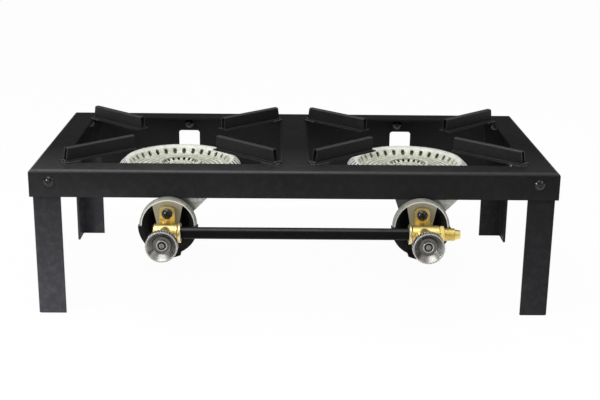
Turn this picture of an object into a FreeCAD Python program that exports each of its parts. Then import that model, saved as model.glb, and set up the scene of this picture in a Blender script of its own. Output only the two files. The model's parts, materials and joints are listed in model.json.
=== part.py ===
import FreeCAD, Part
import math
import os

# Two-burner camping stove: welded angle frame on four bolted legs, cast burners, brass taps on one gas pipe.
# Millimetres, +Z up, the front with the knobs towards -Y, the floor at Z = 0.

# Frame of folded angle
FRAME_WIDTH = 660.0
FRAME_DEPTH = 330.0
FRAME_TOP = 191.0
RAIL_FLANGE = 35.0
FRONT_APRON = 35.0
SIDE_APRON = 35.0
REAR_APRON = 25.0
CENTRE_BAR_WIDTH = 40.0
CENTRE_BAR_LIP = 25.0
SHEET = 3.0
BEND = 4.5

# Legs and the M6 bolts
LEG_WIDTH = 35.0
LEG_HEADROOM = 0.5
BOLT_FROM_CORNER = 25.0
BOLT_DROP = 15.0
M6_RADIUS = 3.0
M6_HEAD_RADIUS = 6.6
M6_HEAD_HEIGHT = 3.6
HEAD_ROUND_SHARE = 0.78
DOME_FIT = 0.97
RECESS_SPAN = 6.4
RECESS_WIDTH = 1.5
RECESS_DEPTH = 2.0
M6_NUT_FLATS = 10.0
M6_NUT_HEIGHT = 5.0
BOLT_TAIL = 2.0
HOLE_CLEARANCE = 0.2
THREAD_CLEARANCE = 0.05

# Pot supports folded to a hat section
SUPPORT_HEIGHT = 18.5
SUPPORT_CROWN = 8.0
SUPPORT_BRIM = 6.0
SUPPORT_SHEET = 1.5
SUPPORT_BEND = 2.0
SUPPORT_INNER_END = 78.0
SUPPORT_CORNER_GAP = 5.0
SUPPORT_END_SLANT = 3.0

# Wind guard inside the rear rail
GUARD_HEIGHT = 77.0
GUARD_SHEET = 1.5
GUARD_SIDE_GAP = 0.2
NOTCH_WIDTH = 31.0
NOTCH_DROP = 26.0
NOTCH_ROUND = 4.0
RIGHT_NOTCH_SHIFT = 5.0
CLAMP_WIDTH = 18.0
CLAMP_HEIGHT = 20.0
CLAMP_SHEET = 2.0

# Burner caps
BURNER_DROP = 29.5
CAP_RADIUS = 83.5
CAP_RIM_HEIGHT = 8.0
CAP_EDGE = 1.2
CAP_WALL = 4.0
CROWN_WIDTH = 14.5
CROWN_WALL_RUN = 6.5
DISH_DEPTH = 8.5
HUB_OUTER_RADIUS = 29.0
HUB_FOOT_RUN = 3.0
HUB_CROWN_WIDTH = 5.0
HUB_WALL_RUN = 5.0
HUB_DROP = 2.0
HUB_WELL_DROP = 6.5
SOFT_EDGE = 1.0
SPIGOT_DEPTH = 2.5
SPIGOT_WIDTH = 2.2
SPIGOT_CLEARANCE = 0.3
RIM_GROOVE_COUNT = 52
RIM_GROOVE_WIDTH = 4.2
RIM_GROOVE_DEPTH = 1.0
RIM_GROOVE_LENGTH = 9.0
OUTER_PORT_COUNT = 32
OUTER_PORT_RADIUS = 2.7
OUTER_PORT_STRETCH = 2.4
INNER_PORT_COUNT = 18
INNER_PORT_RADIUS = 1.8
INNER_PORT_STRETCH = 1.2
PORT_OVERRUN = 2.0

# Burner castings: pan, mixer tube and bell
CASTING_WALL = 4.0
CAP_OVERHANG = 3.5
PAN_TAPER = 8.0
PAN_RIM_WIDTH = 4.0
PAN_RIM_HEIGHT = 5.0
PAN_DEPTH = 20.5
PAN_ROUND = 3.0
MIXER_BELOW_PAN = 9.6
MIXER_RADIUS = 20.0
MIXER_END = 24.0
MIXER_END_ROUND = 9.0
THROAT_RADIUS = 13.0
CUP_LENGTH = 28.0
DIFFUSER_LENGTH = 70.0
RISER_RADIUS = 12.0
BELL_RADIUS = 35.5
BELL_RIM_WIDTH = 3.0
BELL_RIM_DEPTH = 10.0
BELL_STEP = 1.5
BELL_STANDOFF = 13.0
APRON_CLEARANCE = 2.0
SPIDER_TOP_WIDTH = 41.0
SPIDER_WIDTH = 27.0
SPIDER_THICKNESS = 7.0
SPIDER_ROUND = 2.0
SPIDER_DROP = 2.0
SPIDER_CLEARANCE = 0.6
EAR_WIDTH = 25.0
EAR_REACH = 58.0
EAR_ANGLE = 45.0
EAR_THICKNESS = 6.0
EAR_ROUND = 12.0
EAR_BEHIND_APRON = 6.0
BOSS_RADIUS = 8.0
BOSS_LENGTH = 8.0
BOSS_OFFSET = 55.0

# Steel parts that carry the burners
SADDLE_SHEET = 3.0
SADDLE_BEND = 4.0
SADDLE_FOOT = 17.0
SADDLE_BELOW_APRON = 4.0
SADDLE_LEFT_REACH = 24.0
SADDLE_EAR_MARGIN = 7.0
STRAP_WIDTH = 25.0
STRAP_THICKNESS = 4.0
STRAP_BEND = 6.0
STRAP_TOP_DROP = 8.0

# Gas pipe and taps
TAP_REACH = 26.0
PIPE_RADIUS = 7.25
PIPE_BORE = 5.5
COLLAR_RADIUS = 12.5
COLLAR_THICKNESS = 3.6
COLLAR_EDGE = 0.7
BARREL_RADIUS = 11.0
BARREL_EDGE = 1.2
BARREL_PIPE_END = 15.0
BARREL_CLOSED_END = 15.0
BARREL_INLET_END = 19.3
GAS_BORE = 4.0
GLAND_BOSS_RADIUS = 9.5
GLAND_BOSS_LENGTH = 22.0
OUTLET_BOSS_RADIUS = 8.0
OUTLET_BORE = 2.0
LUG_WIDTH = 19.0
LUG_THICKNESS = 6.0
LUG_BELOW = 8.0
LUG_SCREW_HEIGHT = 17.6
LUG_ABOVE_SCREW = 9.0
LUG_ROUND = 6.0
LUG_SCREW_HEAD_RADIUS = 6.6
LUG_SCREW_HEAD_HEIGHT = 4.4
LUG_SCREW_TAIL = 1.5
JET_RADIUS = 4.0
JET_NOSE_RADIUS = 5.0
JET_NOSE_LENGTH = 7.0
JET_TIP_RADIUS = 2.2
JET_TIP_LENGTH = 4.0
JET_THREAD_LENGTH = 8.0
JET_ORIFICE_RADIUS = 0.8
GLAND_NUT_FLATS = 17.0
GLAND_NUT_LENGTH = 8.0
HEX_CHAMFER = 1.0
STEM_RADIUS = 4.0
NEEDLE_SEAT = 6.0
NEEDLE_LENGTH = 5.0
NEEDLE_TIP_RADIUS = 1.0
NEEDLE_GAP = 0.5
RUNNING_CLEARANCE = 0.05

# Flare inlet for a 5/8 inch thread
INLET_FLATS = 19.0
INLET_HEX_LENGTH = 4.9
INLET_THREAD_RADIUS = 7.94
INLET_THREAD_LENGTH = 13.3
INLET_NOSE_LENGTH = 6.8
INLET_NOSE_ROOT = 6.4
INLET_NOSE_RADIUS = 5.2

# Knobs
KNOB_RADIUS = 19.25
KNOB_DEPTH = 14.0
KNOB_BACK_RADIUS = 13.0
KNOB_BACK_ROUND = 2.0
KNOB_RIM_WIDTH = 1.8
KNOB_RIM_DEPTH = 8.5
KNOB_EDGE = 0.5
KNOB_DISH_DEPTH = 8.0
KNOB_DISH_RADIUS = 15.0
KNOB_DISH_ROUND = 3.5
KNOB_HUB_RADIUS = 6.6
KNOB_HUB_HEIGHT = 3.0
KNOB_RECESS_RADIUS = 5.2
KNOB_RECESS_DEPTH = 1.2
KNOB_WEB = 2.5
KNOB_STANDOFF = 40.0
KNURL_COUNT = 36
KNURL_DEPTH = 0.7
KNURL_LENGTH = 6.5
STEM_END_GAP = 0.5
KNOB_SCREW_RADIUS = 1.5
KNOB_SCREW_HEAD_RADIUS = 3.2
KNOB_SCREW_HEAD_HEIGHT = 1.8
KNOB_SCREW_LENGTH = 9.0
SLOT_WIDTH = 0.9
SLOT_DEPTH = 0.9
SLOT_TURN = 78.0

# Air shutters around the bells
SHUTTER_SHEET = 1.2
SHUTTER_CLEARANCE = 0.3
SHUTTER_LIP = 6.5
SHUTTER_DEPTH = 9.0
SHUTTER_ARC = 180.0
SHUTTER_TAB_WIDTH = 12.0
SHUTTER_TAB_LENGTH = 16.0
SHUTTER_TAB_ROUND = 2.5
SHUTTER_TAB_TURN = 18.0

V = FreeCAD.Vector
X = V(1, 0, 0)
Y = V(0, 1, 0)
Z = V(0, 0, 1)
SIDES = {"left": -1, "right": 1}
ENDS = {"front": -1, "rear": 1}

# Places that follow from the sizes
HALF_WIDTH = FRAME_WIDTH / 2
HALF_DEPTH = FRAME_DEPTH / 2
BAY_OUTER = HALF_WIDTH - RAIL_FLANGE
BAY_INNER = CENTRE_BAR_WIDTH / 2
BAY_DEPTH = HALF_DEPTH - RAIL_FLANGE
BURNER_X = (BAY_OUTER + BAY_INNER) / 2
UNDER_BEND = FRAME_TOP - BEND - LEG_HEADROOM
BOLT_Z = FRAME_TOP - BOLT_DROP
GUARD_Y = HALF_DEPTH - SHEET - GUARD_SHEET
CLAMP_Y = GUARD_Y - CLAMP_SHEET
GUARD_GRIP = CLAMP_SHEET + GUARD_SHEET + SHEET
CROWN_INNER_RADIUS = CAP_RADIUS - CROWN_WIDTH
DISH_RADIUS = CROWN_INNER_RADIUS - CROWN_WALL_RUN
HUB_FOOT_RADIUS = HUB_OUTER_RADIUS + HUB_FOOT_RUN
HUB_INNER_RADIUS = HUB_OUTER_RADIUS - HUB_CROWN_WIDTH
HUB_WELL_RADIUS = HUB_INNER_RADIUS - HUB_WALL_RUN
PAN_RADIUS = CAP_RADIUS - CAP_OVERHANG
PAN_FLOOR_RADIUS = PAN_RADIUS - PAN_TAPER
CAP_TOP = FRAME_TOP - BURNER_DROP
PAN_TOP = CAP_TOP - CAP_RIM_HEIGHT
PAN_BOTTOM = PAN_TOP - PAN_DEPTH
PAN_INNER_RADIUS = PAN_RADIUS - PAN_RIM_WIDTH
MIXER_Z = PAN_BOTTOM - MIXER_BELOW_PAN
BELL_FRONT = -HALF_DEPTH - BELL_STANDOFF
BELL_BACK = BELL_FRONT + BELL_RIM_DEPTH
CUP_RADIUS = FRAME_TOP - FRONT_APRON - APRON_CLEARANCE - MIXER_Z
CUP_END = BELL_BACK + CUP_LENGTH
EAR_FRONT = -HALF_DEPTH + SHEET + EAR_BEHIND_APRON
EAR_X = EAR_REACH * math.cos(math.radians(EAR_ANGLE))
EAR_Z = EAR_REACH * math.sin(math.radians(EAR_ANGLE))
SADDLE_FRONT = EAR_FRONT + EAR_THICKNESS
STRAP_TOP = PAN_BOTTOM - BOSS_LENGTH
TAP_Y = BELL_FRONT - TAP_REACH
LUG_FRONT = BELL_FRONT - LUG_THICKNESS
GLAND_FRONT = TAP_Y - GLAND_BOSS_LENGTH
KNOB_BACK = TAP_Y - KNOB_STANDOFF
KNOB_FRONT = KNOB_BACK - KNOB_DEPTH
KNOB_HUB_TOP = KNOB_DEPTH - KNOB_DISH_DEPTH + KNOB_HUB_HEIGHT
KNOB_SEAT = KNOB_HUB_TOP - KNOB_RECESS_DEPTH
REAR_REACH = HALF_DEPTH + max(M6_HEAD_HEIGHT, M6_NUT_HEIGHT + BOLT_TAIL)
TO_ORIGIN = Y * (-(KNOB_FRONT + REAR_REACH) / 2)


def across_x(x):
    return lambda y, z: V(x, y, z)


def across_y(y):
    return lambda x, z: V(x, y, z)


def across_z(z):
    return lambda x, y: V(x, y, z)


def box(x0, x1, y0, y1, z0, z1):
    return Part.makeBox(x1 - x0, y1 - y0, z1 - z0, V(x0, y0, z0))


def rod(start, direction, radius, length):
    return Part.makeCylinder(radius, length, start, direction)


# Closed outline through corners (point, radius), with a tangent arc at each corner that has a radius
def outline(corners):
    arcs = []
    for index, (corner, radius) in enumerate(corners):
        before = (corners[index - 1][0] - corner).normalize()
        after = (corners[(index + 1) % len(corners)][0] - corner).normalize()
        half_angle = before.getAngle(after) / 2
        reach = radius / math.tan(half_angle)
        depth = radius / math.sin(half_angle) - radius
        middle = corner + (before + after).normalize() * depth
        arcs.append((corner + before * reach, middle, corner + after * reach))
    edges = []
    for index, (start, middle, end) in enumerate(arcs):
        if corners[index][1] > 0:
            edges.append(Part.Arc(start, middle, end).toShape())
        following = arcs[(index + 1) % len(arcs)][0]
        if (following - end).Length > 1e-6:
            edges.append(Part.LineSegment(end, following).toShape())
    return Part.Wire(edges)


# Flat piece from corners (u, v, radius) laid out by one of the across functions
def plate(corners, across, sweep):
    return Part.Face(outline([(across(u, v), radius) for u, v, radius in corners])).extrude(sweep)


# Turned piece from corners (radius, height, rounding) about an axis through base
def lathe(corners, base, axis, sweep=360.0, start=0.0):
    section = Part.Face(outline([(V(r, 0, h), rounding) for r, h, rounding in corners]))
    solid = section.revolve(V(), Z, sweep)
    solid.rotate(V(), Z, start)
    solid.Placement = FreeCAD.Placement(base, FreeCAD.Rotation(Z, axis)).multiply(solid.Placement)
    return solid


def hex_bar(base, axis, flats, length):
    turn = FreeCAD.Rotation(Z, axis)
    angles = [math.radians(60 * step) for step in range(6)]
    radius = flats / math.sqrt(3)
    points = [base + turn.multVec(V(math.cos(a), math.sin(a), 0) * radius) for a in angles]
    return Part.Face(Part.makePolygon(points + points[:1])).extrude(axis * length)


def chamfered_hex(base, axis, flats, length):
    radius = flats / math.sqrt(3)
    inset = radius - HEX_CHAMFER
    rise = HEX_CHAMFER / 2
    blank = [
        (0, 0, 0),
        (inset, 0, 0),
        (radius, rise, 0),
        (radius, length - rise, 0),
        (inset, length, 0),
        (0, length, 0),
    ]
    return hex_bar(base, axis, flats, length).common(lathe(blank, base, axis))


# Copies of one cutter turned about an upright axis
def ring_of(cutter, count, centre):
    copies = []
    for step in range(count):
        copy = cutter.copy()
        copy.rotate(centre, Z, 360.0 * step / count)
        copies.append(copy)
    return Part.makeCompound(copies)


# Cross recess sunk along the axis from the top of a bolt head
def cross_recess(top, axis):
    reach = RECESS_SPAN / 2
    half = RECESS_WIDTH / 2
    upright = box(-half, half, -reach, reach, -1, RECESS_DEPTH)
    level = box(-reach, reach, -half, half, -1, RECESS_DEPTH)
    cross = upright.fuse(level)
    cross.Placement = FreeCAD.Placement(top, FreeCAD.Rotation(Z, axis))
    return cross


# Round-head bolt with its seat under the head and its shank along the axis
def bolt(seat, axis, length, head_radius=M6_HEAD_RADIUS, head_height=M6_HEAD_HEIGHT):
    rise = head_height * HEAD_ROUND_SHARE
    dome_radius = (head_radius ** 2 + rise ** 2) / (2 * rise)
    shoulder = dome_radius * math.tan(math.asin(head_radius / dome_radius) / 2)
    head = lathe([
        (0, 0, 0),
        (head_radius, 0, 0),
        (head_radius, head_height - rise, 0),
        (shoulder, head_height, dome_radius * DOME_FIT),
        (0, head_height, 0),
    ], seat, axis * -1)
    shank = rod(seat, axis, M6_RADIUS, length)
    return head.fuse(shank).removeSplitter().cut(cross_recess(seat - axis * head_height, axis))


def nut(face, axis):
    bore = rod(face, axis, M6_RADIUS + THREAD_CLEARANCE, M6_NUT_HEIGHT)
    return hex_bar(face, axis, M6_NUT_FLATS, M6_NUT_HEIGHT).cut(bore)


def clearance_hole(seat, axis, depth):
    return rod(seat, axis, M6_RADIUS + HOLE_CLEARANCE, depth)


def bolt_length(grip):
    return grip + M6_NUT_HEIGHT + BOLT_TAIL


# Seat and direction of the two bolts that hold each leg
def leg_bolt_places():
    places = []
    for sx in SIDES.values():
        for sy in ENDS.values():
            places.append((V(sx * (HALF_WIDTH - BOLT_FROM_CORNER), sy * HALF_DEPTH, BOLT_Z), Y * -sy))
            places.append((V(sx * HALF_WIDTH, sy * (HALF_DEPTH - BOLT_FROM_CORNER), BOLT_Z), X * -sx))
    return places


def guard_bolt_places():
    return [(V(sx * BURNER_X, CLAMP_Y, BOLT_Z), Y) for sx in SIDES.values()]


def ear_bolt_places():
    return [(V(sx * BURNER_X + EAR_X, EAR_FRONT, MIXER_Z + EAR_Z), Y) for sx in SIDES.values()]


def boss_bolt_places():
    return [(V(sx * BURNER_X, BOSS_OFFSET, STRAP_TOP - STRAP_THICKNESS), Z) for sx in SIDES.values()]


def lug_screw_places():
    return [(V(sx * BURNER_X, LUG_FRONT, MIXER_Z + LUG_SCREW_HEIGHT), Y) for sx in SIDES.values()]


def drilled(shape, places, depth):
    return shape.cut(Part.makeCompound([clearance_hole(seat, axis, depth) for seat, axis in places]))


# Angle rail along the front, mitred at both ends, then turned to its side of the frame
def rail(length, half_span, apron, turn):
    half = length / 2
    section = [
        (-half_span, FRAME_TOP - apron, 0),
        (-half_span, FRAME_TOP, BEND),
        (RAIL_FLANGE - half_span, FRAME_TOP, 0),
        (RAIL_FLANGE - half_span, FRAME_TOP - SHEET, 0),
        (SHEET - half_span, FRAME_TOP - SHEET, BEND - SHEET),
        (SHEET - half_span, FRAME_TOP - apron, 0),
    ]
    mitre = [
        (-half, -half_span, 0),
        (half, -half_span, 0),
        (half - RAIL_FLANGE, RAIL_FLANGE - half_span, 0),
        (RAIL_FLANGE - half, RAIL_FLANGE - half_span, 0),
    ]
    angle = plate(section, across_x(-half), X * length)
    angle = angle.common(plate(mitre, across_z(FRAME_TOP - apron), Z * apron))
    angle.rotate(V(), Z, turn)
    angle = drilled(angle, leg_bolt_places(), SHEET)
    return drilled(angle, guard_bolt_places(), GUARD_GRIP)


def centre_bar():
    half = CENTRE_BAR_WIDTH / 2
    inner = half - SHEET
    low = FRAME_TOP - CENTRE_BAR_LIP
    section = [
        (-half, low, 0),
        (-half, FRAME_TOP, BEND),
        (half, FRAME_TOP, BEND),
        (half, low, 0),
        (inner, low, 0),
        (inner, FRAME_TOP - SHEET, BEND - SHEET),
        (-inner, FRAME_TOP - SHEET, BEND - SHEET),
        (-inner, low, 0),
    ]
    return plate(section, across_y(-BAY_DEPTH), Y * (2 * BAY_DEPTH))


# Angle leg inside the corner of two aprons
def leg(sx, sy):
    section = [
        (0, 0, BEND),
        (LEG_WIDTH, 0, 0),
        (LEG_WIDTH, SHEET, 0),
        (SHEET, SHEET, BEND - SHEET),
        (SHEET, LEG_WIDTH, 0),
        (0, LEG_WIDTH, 0),
    ]
    corner_x = HALF_WIDTH - SHEET
    corner_y = HALF_DEPTH - SHEET
    section = [(sx * (corner_x - u), sy * (corner_y - v), radius) for u, v, radius in section]
    return drilled(plate(section, across_z(0), Z * UNDER_BEND), leg_bolt_places(), 3 * SHEET)


# Hat-section bar from above the flame to the corner of its bay
def pot_support(side, toward_x, toward_y):
    crown = SUPPORT_CROWN / 2
    brim = crown + SUPPORT_BRIM
    hollow = crown - SUPPORT_SHEET
    roof = SUPPORT_HEIGHT - SUPPORT_SHEET
    tight = SUPPORT_BEND - SUPPORT_SHEET
    half_section = [
        (brim, 0, 0),
        (brim, SUPPORT_SHEET, 0),
        (crown, SUPPORT_SHEET, tight),
        (crown, SUPPORT_HEIGHT, SUPPORT_BEND),
    ]
    half_hollow = [(hollow, roof, tight), (hollow, 0, SUPPORT_BEND)]
    section = half_section + [(-u, v, radius) for u, v, radius in reversed(half_section)]
    section += [(-u, v, radius) for u, v, radius in reversed(half_hollow)] + half_hollow
    corner = V(toward_x * (BAY_OUTER - BAY_INNER) / 2, toward_y * BAY_DEPTH, 0)
    length = corner.Length - SUPPORT_CORNER_GAP - SUPPORT_INNER_END
    bar = plate(section, across_x(SUPPORT_INNER_END), X * length)
    end = SUPPORT_INNER_END + length
    slant = [(end, 0, 0), (end, SUPPORT_HEIGHT, 0), (end - SUPPORT_END_SLANT, SUPPORT_HEIGHT, 0)]
    bar = bar.cut(plate(slant, across_y(-brim), Y * (2 * brim)))
    bar.rotate(V(), Z, math.degrees(math.atan2(corner.y, corner.x)))
    bar.translate(V(side * BURNER_X, 0, FRAME_TOP))
    return bar


# Sheet between the rear legs, open at the bottom behind each burner
def wind_guard():
    half = HALF_WIDTH - SHEET - LEG_WIDTH - GUARD_SIDE_GAP
    low = UNDER_BEND - GUARD_HEIGHT
    notch_top = FRAME_TOP - NOTCH_DROP
    corners = [(-half, low, 0), (-half, UNDER_BEND, 0), (half, UNDER_BEND, 0), (half, low, 0)]
    for centre in (BURNER_X + RIGHT_NOTCH_SHIFT, -BURNER_X):
        right = centre + NOTCH_WIDTH / 2
        left = centre - NOTCH_WIDTH / 2
        corners += [(right, low, 0), (right, notch_top, NOTCH_ROUND)]
        corners += [(left, notch_top, NOTCH_ROUND), (left, low, 0)]
    sheet = plate(corners, across_y(GUARD_Y), Y * GUARD_SHEET)
    return drilled(sheet, guard_bolt_places(), CLAMP_SHEET + GUARD_SHEET)


def guard_clamps():
    plates = []
    for sx in SIDES.values():
        left = sx * BURNER_X - CLAMP_WIDTH / 2
        low = BOLT_Z - CLAMP_HEIGHT / 2
        plates.append(box(left, left + CLAMP_WIDTH, CLAMP_Y, GUARD_Y, low, low + CLAMP_HEIGHT))
    return Part.makeCompound([drilled(shape, guard_bolt_places(), CLAMP_SHEET) for shape in plates])


# Ring of ports drilled square to a sloping wall between two (radius, height) points
# Slots with round ends around a sloping wall, drawn out along the slope
def port_ring(top, bottom, radius, stretch, count, centre):
    slope = V(top[0] - bottom[0], 0, top[1] - bottom[1]).normalize()
    inward = V(slope.z, 0, -slope.x)
    middle = V((top[0] + bottom[0]) / 2, 0, (top[1] + bottom[1]) / 2)
    half = stretch / 2
    length = 2 * CAP_WALL + PORT_OVERRUN
    ends = [rod(V(end, 0, 0), Z, radius, length) for end in (-half, half)]
    port = box(-half, half, -radius, radius, 0, length).multiFuse(ends).removeSplitter()
    turn = FreeCAD.Rotation(slope, inward.cross(slope), inward, "ZXY")
    port.Placement = FreeCAD.Placement(centre + middle - inward * PORT_OVERRUN, turn)
    return ring_of(port, count, centre)


# Cast ring cap: crown with a grooved rim, ported wall, dish and ported hub
def burner_cap(x):
    centre = V(x, 0, CAP_TOP)
    spigot = PAN_INNER_RADIUS - SPIGOT_CLEARANCE
    seat = -CAP_RIM_HEIGHT
    shift = CAP_WALL / 4
    section = [
        (0, -HUB_WELL_DROP, 0),
        (HUB_WELL_RADIUS, -HUB_WELL_DROP, 0),
        (HUB_INNER_RADIUS, -HUB_DROP, 0),
        (HUB_OUTER_RADIUS, -HUB_DROP, SOFT_EDGE),
        (HUB_FOOT_RADIUS, -DISH_DEPTH, 0),
        (DISH_RADIUS, -DISH_DEPTH, 0),
        (CROWN_INNER_RADIUS, 0, SOFT_EDGE),
        (CAP_RADIUS - CAP_EDGE, 0, 0),
        (CAP_RADIUS, -CAP_EDGE, 0),
        (CAP_RADIUS, seat, 0),
        (spigot, seat, 0),
        (spigot, seat - SPIGOT_DEPTH, 0),
        (spigot - SPIGOT_WIDTH, seat - SPIGOT_DEPTH, 0),
        (spigot - SPIGOT_WIDTH, -CAP_WALL, 0),
        (CROWN_INNER_RADIUS + shift, -CAP_WALL, 0),
        (DISH_RADIUS + shift, -DISH_DEPTH - CAP_WALL, 0),
        (HUB_FOOT_RADIUS - shift, -DISH_DEPTH - CAP_WALL, 0),
        (HUB_OUTER_RADIUS - shift, -HUB_DROP - CAP_WALL, 0),
        (HUB_INNER_RADIUS + shift, -HUB_DROP - CAP_WALL, 0),
        (HUB_WELL_RADIUS + shift, -HUB_WELL_DROP - CAP_WALL, 0),
        (0, -HUB_WELL_DROP - CAP_WALL, 0),
    ]
    cap = lathe(section, centre, Z)
    groove_start = x + CAP_RADIUS - RIM_GROOVE_LENGTH
    groove_end = x + CAP_RADIUS + PORT_OVERRUN
    half_groove = RIM_GROOVE_WIDTH / 2
    groove_floor = CAP_TOP - RIM_GROOVE_DEPTH
    groove = box(groove_start, groove_end, -half_groove, half_groove, groove_floor, CAP_TOP + 1)
    cap = cap.cut(ring_of(groove, RIM_GROOVE_COUNT, centre))
    crown_wall = [(CROWN_INNER_RADIUS, 0), (DISH_RADIUS, -DISH_DEPTH)]
    hub_wall = [(HUB_INNER_RADIUS, -HUB_DROP), (HUB_WELL_RADIUS, -HUB_WELL_DROP)]
    cap = cap.cut(port_ring(*crown_wall, OUTER_PORT_RADIUS, OUTER_PORT_STRETCH, OUTER_PORT_COUNT, centre))
    return cap.cut(port_ring(*hub_wall, INNER_PORT_RADIUS, INNER_PORT_STRETCH, INNER_PORT_COUNT, centre))


# Casting in one piece: gas pan, mixer tube, bell with its spider, side ear and rear boss
def burner_body(x):
    axis = V(x, 0, MIXER_Z)
    floor = V(x, 0, 0)
    inner_floor = PAN_BOTTOM + CASTING_WALL
    pan = lathe([
        (0, PAN_BOTTOM, 0),
        (PAN_FLOOR_RADIUS, PAN_BOTTOM, PAN_ROUND),
        (PAN_RADIUS, PAN_TOP - PAN_RIM_HEIGHT, 0),
        (PAN_RADIUS, PAN_TOP, 0),
        (0, PAN_TOP, 0),
    ], floor, Z)
    chamber = lathe([
        (0, inner_floor, 0),
        (PAN_FLOOR_RADIUS - CASTING_WALL, inner_floor, 0),
        (PAN_INNER_RADIUS, PAN_TOP - PAN_RIM_HEIGHT, 0),
        (PAN_INNER_RADIUS, PAN_TOP + 1, 0),
        (0, PAN_TOP + 1, 0),
    ], floor, Z)
    mixer = lathe([
        (0, BELL_FRONT, 0),
        (BELL_RADIUS, BELL_FRONT, SOFT_EDGE),
        (BELL_RADIUS, BELL_BACK, SOFT_EDGE),
        (CUP_RADIUS, BELL_BACK + BELL_STEP, 0),
        (MIXER_RADIUS, CUP_END, 0),
        (MIXER_RADIUS, MIXER_END, MIXER_END_ROUND),
        (0, MIXER_END, 0),
    ], axis, Y)
    mixer_bore = MIXER_RADIUS - CASTING_WALL
    mouth = BELL_RADIUS - BELL_RIM_WIDTH
    bore = lathe([
        (0, BELL_FRONT - 1, 0),
        (mouth, BELL_FRONT - 1, 0),
        (mouth, BELL_FRONT + BELL_RIM_WIDTH, 0),
        (CUP_RADIUS - CASTING_WALL, BELL_BACK, 0),
        (THROAT_RADIUS, CUP_END, 0),
        (mixer_bore, CUP_END + DIFFUSER_LENGTH, 0),
        (mixer_bore, MIXER_END - CASTING_WALL, MIXER_END_ROUND - CASTING_WALL),
        (0, MIXER_END - CASTING_WALL, 0),
    ], axis, Y)
    half_ear = EAR_WIDTH / 2
    ear_end = EAR_REACH + half_ear
    ear = plate([
        (0, -half_ear, 0),
        (ear_end, -half_ear, EAR_ROUND),
        (ear_end, half_ear, EAR_ROUND),
        (0, half_ear, 0),
    ], across_y(EAR_FRONT), Y * EAR_THICKNESS)
    ear.rotate(V(), Y, -EAR_ANGLE)
    ear.translate(axis)
    spider = plate([
        (-SPIDER_WIDTH / 2, SPIDER_DROP, SPIDER_ROUND),
        (-SPIDER_TOP_WIDTH / 2, BELL_RADIUS, 0),
        (SPIDER_TOP_WIDTH / 2, BELL_RADIUS, 0),
        (SPIDER_WIDTH / 2, SPIDER_DROP, SPIDER_ROUND),
    ], across_y(BELL_FRONT), Y * SPIDER_THICKNESS)
    spider.translate(axis)
    mouth_plane = axis + Y * BELL_FRONT
    spider = spider.common(rod(mouth_plane, Y, BELL_RADIUS - BELL_RIM_WIDTH / 2, SPIDER_THICKNESS))
    spider = spider.cut(rod(mouth_plane, Y, OUTLET_BOSS_RADIUS + SPIDER_CLEARANCE, SPIDER_THICKNESS))
    boss = rod(V(x, BOSS_OFFSET, STRAP_TOP), Z, BOSS_RADIUS, BOSS_LENGTH + CASTING_WALL / 2)
    riser = rod(axis, Z, RISER_RADIUS, MIXER_RADIUS + 1)
    body = pan.multiFuse([mixer, ear, boss])
    body = body.cut(Part.makeCompound([chamber.cut(mixer)]))
    body = body.cut(bore).cut(riser).fuse(spider)
    body = drilled(body, ear_bolt_places(), EAR_THICKNESS)
    thread = M6_RADIUS + THREAD_CLEARANCE
    boss_hole = rod(V(x, BOSS_OFFSET, STRAP_TOP), Z, thread, BOSS_LENGTH)
    screw_hole = rod(axis + V(0, BELL_FRONT, LUG_SCREW_HEIGHT), Y, thread, SPIDER_THICKNESS)
    return body.cut(boss_hole).cut(screw_hole).removeSplitter()


# Folded bracket under the front flange, arched over the mixer tube
def front_saddle(x):
    top = FRAME_TOP - SHEET
    low = FRAME_TOP - FRONT_APRON - SADDLE_BELOW_APRON
    section = [
        (SADDLE_FRONT, low, 0),
        (SADDLE_FRONT, top, SADDLE_BEND),
        (SADDLE_FRONT + SADDLE_FOOT, top, 0),
        (SADDLE_FRONT + SADDLE_FOOT, top - SADDLE_SHEET, 0),
        (SADDLE_FRONT + SADDLE_SHEET, top - SADDLE_SHEET, SADDLE_BEND - SADDLE_SHEET),
        (SADDLE_FRONT + SADDLE_SHEET, low, 0),
    ]
    width = SADDLE_LEFT_REACH + EAR_X + SADDLE_EAR_MARGIN
    saddle = plate(section, across_x(x - SADDLE_LEFT_REACH), X * width)
    arch = rod(V(x, SADDLE_FRONT, MIXER_Z), Y, CUP_RADIUS, SADDLE_SHEET)
    return drilled(saddle.cut(arch), ear_bolt_places(), EAR_THICKNESS + SADDLE_SHEET)


# Flat bar under both burner heads with its ends turned up along the side rails
def cross_strap():
    outer = HALF_WIDTH - SHEET
    inner = outer - STRAP_THICKNESS
    top = FRAME_TOP - STRAP_TOP_DROP
    under = STRAP_TOP - STRAP_THICKNESS
    tight = STRAP_BEND - STRAP_THICKNESS
    section = [
        (-outer, top, 0),
        (-outer, under, STRAP_BEND),
        (outer, under, STRAP_BEND),
        (outer, top, 0),
        (inner, top, 0),
        (inner, STRAP_TOP, tight),
        (-inner, STRAP_TOP, tight),
        (-inner, top, 0),
    ]
    strap = plate(section, across_y(BOSS_OFFSET - STRAP_WIDTH / 2), Y * STRAP_WIDTH)
    return drilled(strap, boss_bolt_places(), STRAP_THICKNESS)


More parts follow.
